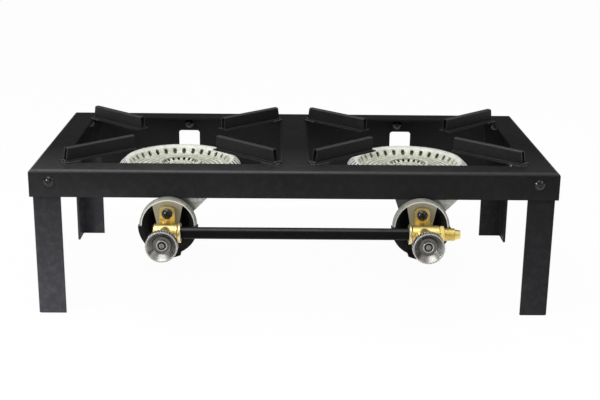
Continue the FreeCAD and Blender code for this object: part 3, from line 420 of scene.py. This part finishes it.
def bare_brass(name, colour, roughness):
    """Bare brass with brown tarnish in patches and on the lugs, painted shade in the corners, and fine tool
    marks.
    """
    brass = Finish(name, {"Metallic": 1.0})
    rolled, edge = brass.soft_edges(0.6 * MM)
    tarnish = brass.ramp(brass.noise(6 * MM, 5.0, 0.6), (0.4, 0.0), (0.75, 1.0))
    marks = brass.noise(0.5 * MM, 3.0, 0.6, (0.2, 1.0, 1.0))
    dark = (colour[0] * 0.46, colour[1] * 0.43, colour[2] * 0.40, 1.0)
    pale = tuple(min(part * 1.3, 0.95) for part in colour) + (1.0,)
    tone = brass.mix(tarnish * 0.5, colour + (1.0,), dark)
    cleaned = brass.mix(edge * 0.6, tone, pale)
    lug = brass.band(brass.axis("Z") - MIXER_Z, *LUG_FOOT)
    aged = brass.mix(lug * (0.45 + 0.4 * tarnish), cleaned, (0.36, 0.31, 0.18, 1.0))
    # Corners darkened: painted shade
    shade = brass.ramp(brass.crevices(6 * MM), (0.15, 0.0), (0.75, 1.0))
    return brass.surface(
        base_color=brass.mix(shade, dark, aged),
        roughness=roughness + 0.2 * tarnish + 0.08 * marks,
        normal=brass.bump(marks, 0.02 * MM, rolled),
    )


# Knob, by distance from its axis
LATHE_PITCH = 0.9 * MM
RECESS_OUTSIDE = (5.3 * MM, 5.1 * MM)
DISH_FLOOR_INSIDE = (6.6 * MM, 7.2 * MM)
DISH_FLOOR_OUTSIDE = (11.6 * MM, 10.4 * MM)
CONE_INSIDE = (9.6 * MM, 10.6 * MM)
CONE_OUTSIDE = (17.7 * MM, 17.3 * MM)
# Knob, by depth behind its front
CONE_FRONT = (0.1 * MM, 0.5 * MM)
DISH_FLOOR_FRONT = (3.0 * MM, 6.0 * MM)
RECESS_FRONT = (5.2 * MM, 5.8 * MM)
DISH_BACK = (9.0 * MM, 8.5 * MM)


def spun_nickel(name):
    """Nickel-plated knob: dull dish with lathe rings, screw recess and corners darkened as painted shade,
    bright rim and rubbed edges.
    """
    plate = Finish(name, {"Metallic": 1.0})
    rolled, edge = plate.soft_edges(0.35 * MM)
    radius = plate.from_bell_axis()
    depth = plate.axis("Y") - KNOB_FRONT_Y
    rings = (radius * (2.0 * math.pi / LATHE_PITCH)).sine()
    film = plate.ramp(plate.noise(5 * MM, 5.0, 0.65), (0.35, 0.0), (0.75, 1.0))
    dish = plate.band(depth, *DISH_BACK)
    floor = plate.band(radius, *DISH_FLOOR_OUTSIDE) * plate.band(radius, *DISH_FLOOR_INSIDE)
    floor = floor * plate.band(depth, *DISH_FLOOR_FRONT) * dish
    cone = plate.band(radius, *CONE_INSIDE) * plate.band(radius, *CONE_OUTSIDE)
    cone = cone * plate.band(depth, *CONE_FRONT) * dish
    # Screw recess painted near black: painted shade
    recess = plate.band(radius, *RECESS_OUTSIDE) * plate.band(depth, *RECESS_FRONT)
    rim_tone = plate.mix(film, grey(0.50, (1.0, 0.985, 0.95)), grey(0.32, (1.0, 0.97, 0.91)))
    cone_tone = plate.mix(film, grey(0.36, (1.0, 0.98, 0.93)), grey(0.23, (1.0, 0.97, 0.90)))
    floor_tone = plate.mix(film, grey(0.14, (1.0, 0.97, 0.90)), grey(0.08, (1.0, 0.96, 0.87)))
    spun = plate.mix(0.2 * rings + 0.2, floor_tone, grey(0.22, (1.0, 0.98, 0.92)))
    tone = plate.mix(floor, plate.mix(cone, rim_tone, cone_tone), spun)
    lightened = plate.mix(edge * 0.7, tone, grey(0.78, (1.0, 0.99, 0.97)))
    shade = plate.ramp(plate.crevices(4 * MM), (0.1, 0.2), (0.7, 1.0))
    shaded = plate.mix(shade, grey(0.05), lightened)
    return plate.surface(
        base_color=plate.mix(recess, shaded, grey(0.02, (1.0, 0.97, 0.9))),
        roughness=0.22 + 0.14 * film + 0.12 * floor,
        normal=plate.bump(rings, 0.008 * MM, rolled),
    )


def zinc_steel(name, level):
    """Dulled zinc on small steel fasteners."""
    steel = Finish(name, {"Metallic": 1.0})
    rolled, edge = steel.soft_edges(0.3 * MM)
    film = steel.noise(3 * MM, 5.0, 0.6)
    tone = steel.mix(film, grey(level, (1.0, 1.0, 1.02)), grey(level * 0.5, (1.0, 0.98, 0.92)))
    return steel.surface(
        base_color=steel.mix(edge * 0.5, tone, grey(min(level * 1.5, 0.8))),
        roughness=0.26 + 0.25 * film,
        normal=steel.bump(film, 0.03 * MM, rolled),
    )


FINISHES = {
    "frame_paint": black_paint(
        "satin_black_frame", tone=0.012, roughness=0.42, edge_wear_and_highlight=0.2, sheen=0.03, used=1.0,
    ),
    "support_paint": black_paint("satin_black_supports", tone=0.015, roughness=0.42, edge_wear_and_highlight=0.6),
    "guard_paint": black_paint("matt_black_guard", tone=0.014, roughness=0.58, edge_wear_and_highlight=0.2),
    "pipe_paint": black_paint(
        "satin_black_pipe", tone=0.006, roughness=0.34, edge_wear_and_highlight=0.2, sheen=0.03, bend_from=0.6,
    ),
    "shutter_paint": black_paint("satin_black_shutter", tone=0.007, roughness=0.42, edge_wear_and_highlight=0.3, sheen=0.08),
    "bolt_black": gloss_black("gloss_black_bolts"),
    "nut_steel": zinc_steel("zinc_nuts", level=0.16),
    "screw_steel": zinc_steel("zinc_knob_screws", level=0.3),
    "burner_casting": burner_casting("silver_burner_casting", level=0.38),
    "burner_cap_casting": cap_casting("silver_burner_cap", level=0.82),
    "tap_brass": bare_brass("tap_brass", colour=(0.92, 0.73, 0.27), roughness=0.26),
    "fitting_brass": bare_brass("turned_brass", colour=(0.88, 0.76, 0.45), roughness=0.24),
    "stem_brass": bare_brass("stem_brass", colour=(0.66, 0.52, 0.22), roughness=0.26),
    "knob_chrome": spun_nickel("spun_nickel_knob"),
}


def dress_nodes():
    """Each CAD node takes the finish of its slot."""
    for part in frame["record"]["subparts"]:
        mesh = frame["nodes"][part["node"]].data
        mesh.materials.clear()
        mesh.materials.append(FINISHES[part["material_slot"]])


def new_piece(name, bm, slot, body="stove", smooth=True, finish=None):
    mesh = bpy.data.meshes.new(name)
    bm.to_mesh(mesh)
    bm.free()
    for face in mesh.polygons:
        face.use_smooth = smooth
    mesh.materials.append(FINISHES[finish or slot])
    piece = bpy.data.objects.new(name, mesh)
    bpy.context.scene.collection.objects.link(piece)
    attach(piece, body)
    return piece


def join_rings(bm, rings):
    """Faces between each ring of points and the next."""
    for ring, following in zip(rings, rings[1:]):
        for step in range(len(ring)):
            after = (step + 1) % len(ring)
            bm.faces.new((ring[step], ring[after], following[after], following[step]))


# Flare inlet: hexagon, 5/8 inch thread with 18 turns to the inch, nose and bore
INLET_HEX_FLATS = 19.0 * MM
INLET_HEX_LENGTH = 4.9 * MM
INLET_CHAMFER = 1.0 * MM
CHAMFER_SLOPE = 2.0
THREAD_RADIUS = 7.94 * MM
THREAD_LENGTH = 13.3 * MM
THREAD_PITCH = 25.4 / 18 * MM
THREAD_DEPTH = 0.75 * MM
NOSE_ROOT = 6.4 * MM
NOSE_RADIUS = 5.2 * MM
INLET_BORE = 4.0 * MM
INLET_SIDES = 72
HEX_STEPS = 12
# Thread: stations to a turn, and the steepness of its flanks, which leaves a flat crest
THREAD_STEPS = 12
THREAD_FLANK = 1.35


def hex_radius(along, angle):
    flat = INLET_HEX_FLATS / 2 / math.cos((angle + math.pi / 6) % (math.pi / 3) - math.pi / 6)
    corner = INLET_HEX_FLATS / math.sqrt(3)
    from_end = min(along, INLET_HEX_LENGTH - along)
    return min(flat, corner - INLET_CHAMFER + CHAMFER_SLOPE * from_end)


def thread_radius(along, angle):
    phase = (along / THREAD_PITCH - angle / (2 * math.pi)) % 1.0
    groove = 1.0 - min(abs(2.0 * phase - 1.0) * THREAD_FLANK, 1.0)
    fade = min(1.0, (along - INLET_HEX_LENGTH) / THREAD_PITCH)
    return THREAD_RADIUS - THREAD_DEPTH * groove * fade


def flare_inlet():
    """Inlet with its thread cut below the CAD cylinder, which keeps the crest size."""
    low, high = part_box("flare_inlet")
    thread_end = INLET_HEX_LENGTH + THREAD_LENGTH
    length = high.x - low.x
    stations = [(0.0, lambda along, angle: INLET_BORE)]
    for step in range(HEX_STEPS + 1):
        stations.append((INLET_HEX_LENGTH * step / HEX_STEPS, hex_radius))
    turns = round(THREAD_LENGTH / THREAD_PITCH * THREAD_STEPS)
    for step in range(turns + 1):
        stations.append((INLET_HEX_LENGTH + THREAD_LENGTH * step / turns, thread_radius))
    stations += [
        (thread_end, lambda along, angle: NOSE_ROOT),
        (length, lambda along, angle: NOSE_RADIUS),
        (length, lambda along, angle: INLET_BORE),
        (0.0, lambda along, angle: INLET_BORE),
    ]
    bm = bmesh.new()
    rings = []
    for along, radius in stations:
        centre = Vector((low.x + along, (low.y + high.y) / 2, (low.z + high.z) / 2))
        ring = []
        for side in range(INLET_SIDES):
            angle = 2 * math.pi * side / INLET_SIDES
            outward = Vector((0.0, math.cos(angle), math.sin(angle)))
            ring.append(bm.verts.new(centre + outward * radius(along, angle)))
        rings.append(ring)
    join_rings(bm, rings)
    bmesh.ops.remove_doubles(bm, verts=bm.verts, dist=SAME_POINT)
    bmesh.ops.recalc_face_normals(bm, faces=bm.faces)
    piece = new_piece("threaded_flare_inlet", bm, "fitting_brass", smooth=False, finish="tap_brass")
    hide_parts("flare_inlet")


# Knob corners: distance from the axis, distance from the back face, round
KNOB_DEPTH = 14.0 * MM
KNOB_RADIUS = 19.25 * MM
KNOB_PROFILE = (
    (4.05 * MM, 0.0, 0.0),
    (13.0 * MM, 0.0, 2.0 * MM),
    (KNOB_RADIUS, 5.5 * MM, 2.0 * MM),
    (KNOB_RADIUS, 7.6 * MM, 0.0),
    (KNOB_RADIUS, 8.0 * MM, 0.0),
    (KNOB_RADIUS, KNOB_DEPTH, 0.5 * MM),
    (17.45 * MM, KNOB_DEPTH, 0.4 * MM),
    (10.4 * MM, 6.0 * MM, 2.5 * MM),
    (6.6 * MM, 6.0 * MM, 0.3 * MM),
    (6.6 * MM, 9.0 * MM, 0.5 * MM),
    (5.2 * MM, 9.0 * MM, 0.2 * MM),
    (5.2 * MM, 7.8 * MM, 0.0),
    (1.65 * MM, 7.8 * MM, 0.0),
    (1.65 * MM, 5.3 * MM, 0.0),
    (4.05 * MM, 5.3 * MM, 0.0),
)
ROUND_STEPS = 4
# Flutes of the rim: outside this distance from the axis, and in front of this distance from the back
KNURL_COUNT = 36
KNURL_DEPTH = 0.55 * MM
KNURL_FLOOR = 18.4 * MM
KNURL_START = 7.8 * MM
KNOB_SIDES = KNURL_COUNT * 6


def rounded_profile(corners):
    """Points of a profile, with each corner that has a round drawn as a short curve."""
    points = []
    for index, (across, along, round_radius) in enumerate(corners):
        corner = Vector((across, along))
        if round_radius == 0.0:
            points.append(corner)
            continue
        back = (Vector(corners[index - 1][:2]) - corner).normalized()
        on = (Vector(corners[index + 1][:2]) - corner).normalized()
        reach = round_radius / math.tan(back.angle(on) / 2)
        for step in range(ROUND_STEPS + 1):
            share = step / ROUND_STEPS
            points.append(corner + back * (reach * (1.0 - share) ** 2) + on * (reach * share ** 2))
    return points


def knurled(across, along, angle):
    """Distance from the axis with the rim's rounded flutes taken off."""
    if across < KNURL_FLOOR or along < KNURL_START:
        return across
    ridge = 0.5 - 0.5 * math.cos(angle * KNURL_COUNT)
    return across - KNURL_DEPTH * ridge ** 2


def spun_knobs():
    """Knobs with their dish spun to a wide cone, inside the outline of the CAD knobs."""
    profile = rounded_profile(KNOB_PROFILE)
    for name, side in SIDES:
        bm = bmesh.new()
        rings = []
        for across, along in profile:
            ring = []
            for step in range(KNOB_SIDES):
                angle = 2 * math.pi * step / KNOB_SIDES
                reach = knurled(across, along, angle)
                ring.append(bm.verts.new((
                    BURNER_X * side + reach * math.cos(angle),
                    KNOB_FRONT_Y + KNOB_DEPTH - along,
                    MIXER_Z + reach * math.sin(angle),
                )))
            rings.append(ring)
        join_rings(bm, rings + rings[:1])
        bmesh.ops.recalc_face_normals(bm, faces=bm.faces)
        piece = new_piece(name + "_spun_knob", bm, "knob_chrome", name + "_tap_handle")
        piece.data.set_sharp_from_angle(angle=SHARP_ANGLE)
        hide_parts(name + "_knob")


def rim_rise(radius):
    """How far the top of the cap stands above the CAD cap's flat crown, or below it."""
    if radius < RIDGE_RADIUS:
        return RIDGE_LIFT * max(0.0, (radius - CROWN_START) / (RIDGE_RADIUS - CROWN_START))
    return RIDGE_LIFT - RIM_SLOPE * (radius - RIDGE_RADIUS)


def sloped_caps():
    """Caps whose grooved rim slopes down outside a raised ridge, seated on the pan as the CAD caps are."""
    for name, side in SIDES:
        node = name + "_burner_cap"
        bm = bmesh.new()
        bm.from_mesh(frame["nodes"][node].data)
        bmesh.ops.remove_doubles(bm, verts=bm.verts, dist=SAME_POINT)
        for vert in bm.verts:
            radius = math.hypot(vert.co.x - BURNER_X * side, vert.co.y - BURNER_Y)
            share = (vert.co.z - CAP_TOP + CAP_RIM_HEIGHT) / (CAP_RIM_HEIGHT - CAP_EDGE)
            vert.co.z += rim_rise(radius) * min(1.0, max(0.0, share))
        piece = new_piece(name + "_sloped_cap", bm, "burner_cap_casting")
        piece.data.set_sharp_from_angle(angle=SHARP_ANGLE)
        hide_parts(node)


# Weld beads: length between stations, sides, ripples, uneven swelling and thin ends
BEAD_STEP = 0.7 * MM
BEAD_SIDES = 10
BEAD_RIPPLE = 0.14
RIPPLE_TURN = 0.9
BEAD_CHANCE = 0.06
BEAD_END = 0.35
BEAD_TAPER = 0.3


def weld_bead(bm, points, radius, chance):
    """Rippled bead along a path, half sunk in the seam that it closes."""
    path = [Vector(point) for point in points]
    stations = []
    for start, end in zip(path, path[1:]):
        count = max(2, round((end - start).length / BEAD_STEP))
        stations += [start.lerp(end, step / count) for step in range(count)]
    stations.append(path[-1])
    last = len(stations) - 1
    rings = []
    for index, centre in enumerate(stations):
        ahead = (stations[min(index + 1, last)] - stations[max(index - 1, 0)]).normalized()
        side = ahead.orthogonal().normalized()
        over = ahead.cross(side)
        taper = min(1.0, BEAD_END + BEAD_TAPER * min(index, last - index))
        ripple = 1.0 - BEAD_RIPPLE + BEAD_RIPPLE * abs(math.cos(index * RIPPLE_TURN))
        swell = radius * taper * (ripple + chance.uniform(-BEAD_CHANCE, BEAD_CHANCE))
        ring = []
        for step in range(BEAD_SIDES):
            turn = 2 * math.pi * step / BEAD_SIDES
            ring.append(bm.verts.new(centre + (side * math.cos(turn) + over * math.sin(turn)) * swell))
        rings.append(ring)
    join_rings(bm, rings)
    bm.faces.new(rings[0][::-1])
    bm.faces.new(rings[-1])


# Pot supports: direction from the burner to the bay corner, and where their brims lie on the frame
BAY_CORNER = Vector((137.5 * MM, 130.0 * MM, 0.0))
BRIM_HALF = 10.0 * MM
SUPPORT_END = BAY_CORNER.length - 5.0 * MM
# Beads along a brim: length, the share of its half width where they end, radius, height above the frame
BRIM_WELD = 18.0 * MM
BRIM_RETURN = 0.45
BRIM_BEAD = 1.3 * MM
BRIM_BEAD_LIFT = 0.3 * MM
# Beads that close the corner past a support: distance past its end, half length, height above the brim beads
CORNER_WELDS = (
    (0.6 * MM, 4.2 * MM, 1.4 * MM),
    (1.4 * MM, 5.0 * MM, -1.0 * MM),
    (3.4 * MM, 2.8 * MM, -1.0 * MM),
)
CORNER_BEAD = 1.8 * MM
SUPPORT_SEED = 7


def support_welds():
    """Corner welds that hold each pot support to the rails and fill the corner past its end."""
    bm = bmesh.new()
    chance = random.Random(SUPPORT_SEED)
    for burner in (-1, 1):
        for toward_x in (-1, 1):
            for toward_y in (-1, 1):
                out = Vector((BAY_CORNER.x * toward_x, BAY_CORNER.y * toward_y, 0.0)).normalized()
                across = Vector((-out.y, out.x, 0.0))
                centre = Vector((BURNER_X * burner, BURNER_Y, FRAME_TOP + BRIM_BEAD_LIFT))
                for hand in (-1, 1):
                    brim = across * (BRIM_HALF * hand)
                    weld_bead(bm, [
                        centre + out * (SUPPORT_END - BRIM_WELD) + brim,
                        centre + out * SUPPORT_END + brim,
                        centre + out * SUPPORT_END + brim * BRIM_RETURN,
                    ], BRIM_BEAD, chance)
                for past, half, lift in CORNER_WELDS:
                    middle = centre + out * (SUPPORT_END + past) + Vector((0.0, 0.0, lift))
                    weld_bead(bm, [middle - across * half, middle + across * half], CORNER_BEAD, chance)
    new_piece("pot_support_welds", bm, "support_paint")


# Beads of the burner brackets: where they start and end along a saddle, how deep they sink, radii
SADDLE_WELDS = ((0.04, 0.36), (0.64, 0.96))
BEAD_SINK = 0.6 * MM
SADDLE_BEAD = 1.6 * MM
STRAP_BEAD = 1.7 * MM
# Beads of the strap start this far above the rail's lower edge and stop this far below the strap's end
STRAP_WELD_FOOT = 3.0 * MM
STRAP_WELD_HEAD = 2.0 * MM
BRACKET_SEED = 11


def bracket_welds():
    """Beads behind the saddle feet and beside the turned-up strap ends."""
    bm = bmesh.new()
    chance = random.Random(BRACKET_SEED)
    for name in ("left_front_saddle", "right_front_saddle"):
        low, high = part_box(name)
        height = high.z - BEAD_SINK
        for start, end in SADDLE_WELDS:
            left = low.x + (high.x - low.x) * start
            right = low.x + (high.x - low.x) * end
            weld_bead(bm, [(left, high.y, height), (right, high.y, height)], SADDLE_BEAD, chance)
    low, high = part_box("burner_cross_strap")
    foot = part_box("left_rail")[0].z + STRAP_WELD_FOOT
    for x in (low.x + BEAD_SINK, high.x - BEAD_SINK):
        for y in (low.y, high.y):
            weld_bead(bm, [(x, y, foot), (x, y, high.z - STRAP_WELD_HEAD)], STRAP_BEAD, chance)
    new_piece("bracket_welds", bm, "frame_paint")


# Camera fitted to the photo's frame corners and feet
CAMERA_PLACE = (-0.0154, -1.4689, 0.5638)
CAMERA_LENS = 67.79
CAMERA_SENSOR = 36.0
CAMERA_YAW = math.radians(0.922)
CAMERA_PITCH = math.radians(16.903)
CAMERA_ROLL = math.radians(0.676)


def place_camera():
    ahead = Vector((
        math.sin(CAMERA_YAW) * math.cos(CAMERA_PITCH),
        math.cos(CAMERA_YAW) * math.cos(CAMERA_PITCH),
        -math.sin(CAMERA_PITCH),
    ))
    level = Vector((math.cos(CAMERA_YAW), -math.sin(CAMERA_YAW), 0.0))
    upright = level.cross(ahead)
    right = level * math.cos(CAMERA_ROLL) + upright * math.sin(CAMERA_ROLL)
    up = upright * math.cos(CAMERA_ROLL) - level * math.sin(CAMERA_ROLL)
    data = bpy.data.cameras.new("photo_camera")
    data.lens = CAMERA_LENS
    data.sensor_width = CAMERA_SENSOR
    camera = bpy.data.objects.new("photo_camera", data)
    turn = Matrix((right, up, -ahead)).transposed().to_4x4()
    camera.matrix_world = Matrix.Translation(CAMERA_PLACE) @ turn
    bpy.context.scene.collection.objects.link(camera)
    bpy.context.scene.camera = camera


# Lamps: name, place, point that they face, size, power
SOFTBOXES = (
    ("key_softbox", (-0.4, -0.5, 1.7), (-0.05, 0.0, 0.15), (1.4, 1.3), 14.0),
    ("front_softbox", (-0.95, -1.0, 0.5), (-0.15, 0.0, 0.1), (0.4, 0.4), 7.0),
    ("fill_softbox", (1.3, -1.1, 1.0), (0.0, 0.0, 0.15), (0.5, 0.5), 2.5),
)
# Brightness of the studio from the horizon up: white low down, dim walls, bright ceiling
STUDIO_GLOW = ((0.03, 1.0), (0.10, 0.25), (0.2, 0.11), (0.42, 0.11), (0.65, 0.75), (1.0, 0.85))


def softbox(name, place, target, size, energy):
    data = bpy.data.lights.new(name, "AREA")
    data.shape = "RECTANGLE"
    data.size, data.size_y = size
    data.energy = energy
    lamp = bpy.data.objects.new(name, data)
    lamp.location = place
    lamp.rotation_euler = (Vector(target) - Vector(place)).to_track_quat("-Z", "Y").to_euler()
    bpy.context.scene.collection.objects.link(lamp)


def light_studio():
    for lamp in SOFTBOXES:
        softbox(*lamp)
    world = bpy.data.worlds.new("white_studio")
    world.use_nodes = True
    bpy.context.scene.world = world
    studio = Nodes(world.node_tree)
    direction = studio.node("ShaderNodeTexCoord", output="Generated")
    height = studio.node("ShaderNodeSeparateXYZ", {}, {"Vector": direction}, output="Z")
    glow = studio.ramp(height, *STUDIO_GLOW)
    light = studio.node("ShaderNodeBackground", {}, {"Color": glow, "Strength": 1.0})
    studio.node("ShaderNodeOutputWorld", {}, {"Surface": light})


# Floor: half its width, and the share of plain white that the camera and mirrors see
PAPER_REACH = 6.0
PAPER_WHITE = 0.96


def white_floor():
    """Pale floor that keeps a faint shadow and looks white to the camera."""
    mesh = bpy.data.meshes.new("studio_floor")
    corners = [(PAPER_REACH * x, PAPER_REACH * y, 0.0) for x, y in ((-1, -1), (1, -1), (1, 1), (-1, 1))]
    mesh.from_pydata(corners, [], [(0, 1, 2, 3)])
    paper = Finish("white_paper", {"Roughness": 0.8, "Specular IOR Level": 0.1})
    paper.surface(base_color=paper.mix(paper.noise(0.4), grey(0.86), grey(0.9)))
    white = paper.node("ShaderNodeEmission", {}, {"Color": grey(1.0), "Strength": 1.0})
    share = PAPER_WHITE * paper.seen_ray()
    both = paper.node("ShaderNodeMixShader", {}, {0: share, 1: paper.shader, 2: white})
    paper.feed(paper.output.inputs["Surface"], both)
    mesh.materials.append(paper.material)
    floor = bpy.data.objects.new("studio_floor", mesh)
    bpy.context.scene.collection.objects.link(floor)


dress_nodes()
flare_inlet()
spun_knobs()
sloped_caps()
support_welds()
bracket_welds()
place_camera()
light_studio()
white_floor()
bpy.context.scene.view_settings.view_transform = "Standard"
